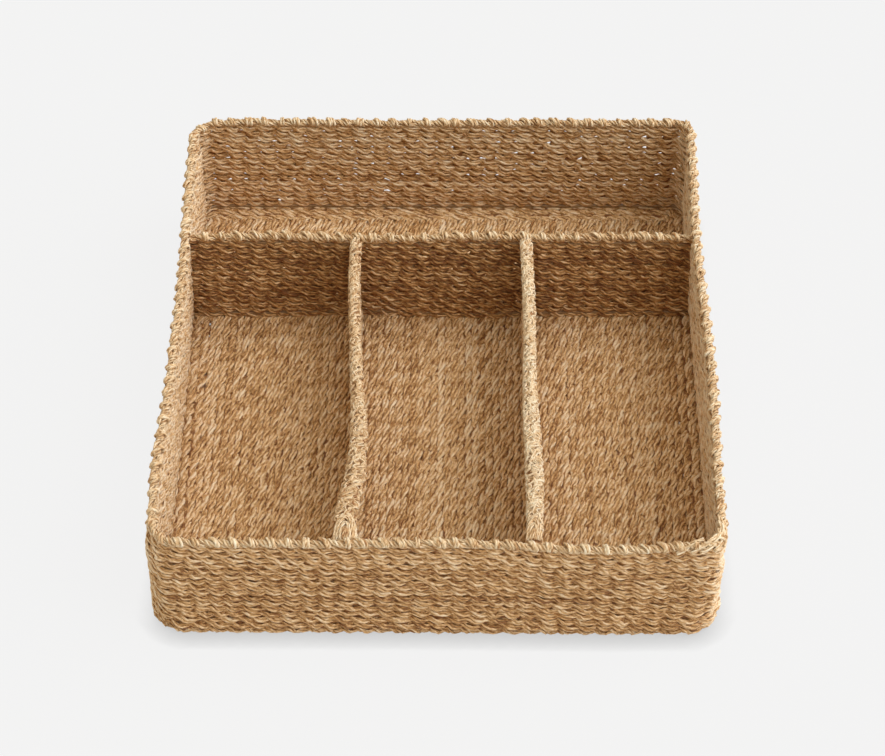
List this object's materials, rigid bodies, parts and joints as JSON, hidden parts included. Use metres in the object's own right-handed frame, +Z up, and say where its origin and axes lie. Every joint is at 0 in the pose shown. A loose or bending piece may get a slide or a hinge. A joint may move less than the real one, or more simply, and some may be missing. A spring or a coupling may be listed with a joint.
{
  "type": "flatware holder",
  "caption": "Low rectangular woven cord tray with rounded corners, one cross divider for knives and two partitions for forks and spoons, on a hidden wire frame.",
  "frame": {"origin": "bottom centre of the tray's bounding box, on the surface it stands on", "axes": "+Z up, +Y towards the back wall and the knife compartment, +X to the right seen from the front"},
  "size_m": [0.316, 0.353, 0.078],
  "materials": {
    "woven_cord": "matt twisted natural fibre cord",
    "border_cord": "matt thick twisted natural fibre cord",
    "frame_wire": "brown lacquered steel wire"
  },
  "bodies": {
    "root": {"floor_weave": "woven_cord", "front_wall_weave": "woven_cord", "back_wall_weave": "woven_cord", "left_wall_weave": "woven_cord", "right_wall_weave": "woven_cord", "cross_divider_weave": "woven_cord", "left_partition_weave": "woven_cord", "right_partition_weave": "woven_cord", "rim_border": "border_cord", "cross_divider_border": "border_cord", "left_partition_border": "border_cord", "right_partition_border": "border_cord", "rim_wire": "frame_wire", "base_wire": "frame_wire", "corner_posts": "frame_wire", "cross_divider_hoop": "frame_wire", "left_partition_hoop": "frame_wire", "right_partition_hoop": "frame_wire"}
  },
  "joints": []
}
